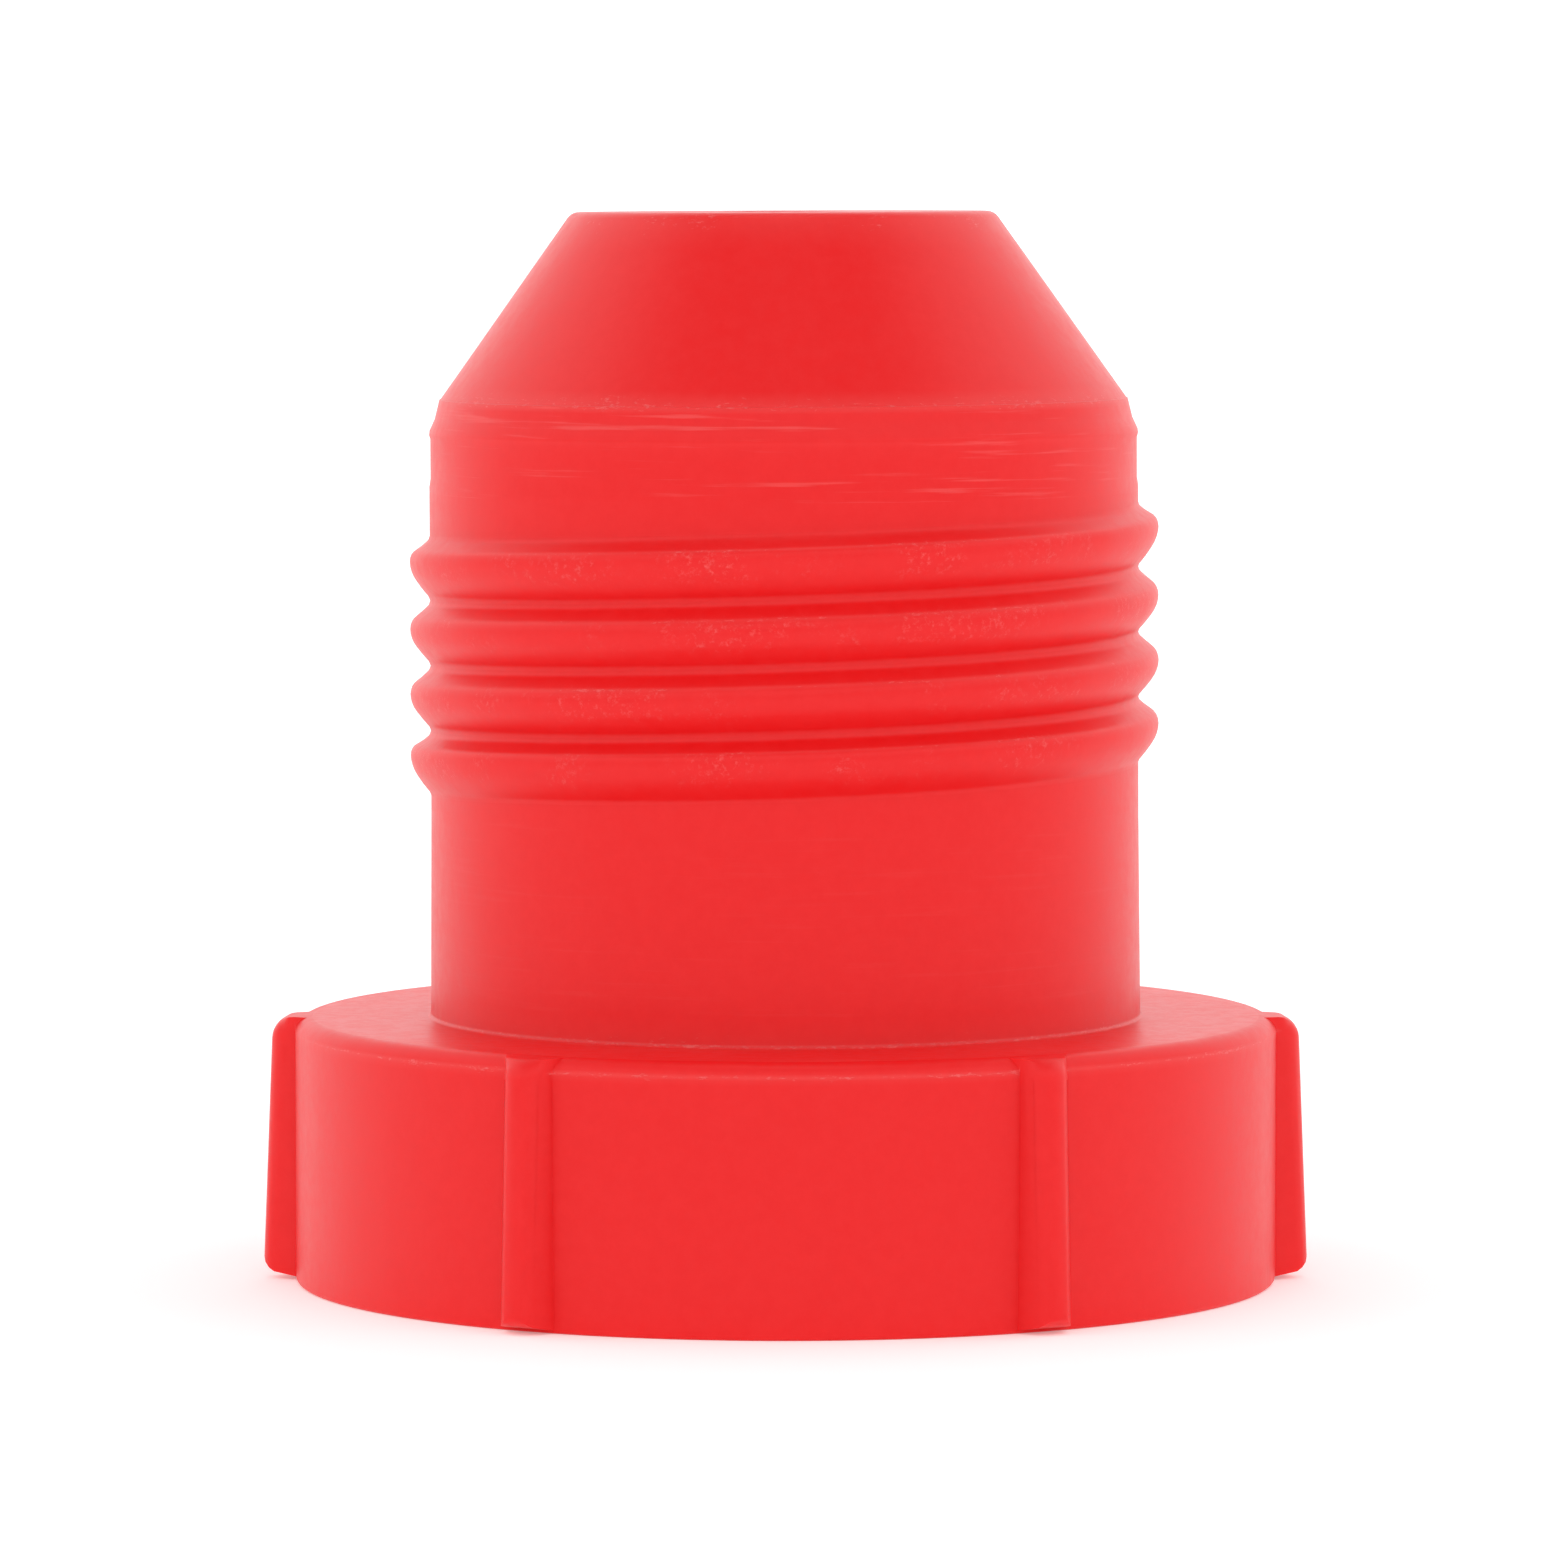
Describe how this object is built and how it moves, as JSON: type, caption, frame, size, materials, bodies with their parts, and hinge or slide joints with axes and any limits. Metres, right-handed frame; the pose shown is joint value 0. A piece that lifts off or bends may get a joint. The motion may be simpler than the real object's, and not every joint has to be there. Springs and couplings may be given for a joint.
{
  "type": "threaded protective plug",
  "caption": "Moulded plastic plug with a ribbed round head, a coarse rounded external thread and a cone nose, for closing flared tube fittings.",
  "frame": {"origin": "centre of the head's rim, on the surface the plug stands on", "axes": "+Z along the thread's axis towards the nose; +X through the middle of a grip rib; the thread is right-hand about +Z"},
  "size_m": [0.0256, 0.024, 0.0261],
  "materials": {
    "plug_plastic": "semi-gloss moulded polyethylene, slightly translucent"
  },
  "bodies": {
    "root": {"threaded_plug": "plug_plastic"}
  },
  "joints": []
}
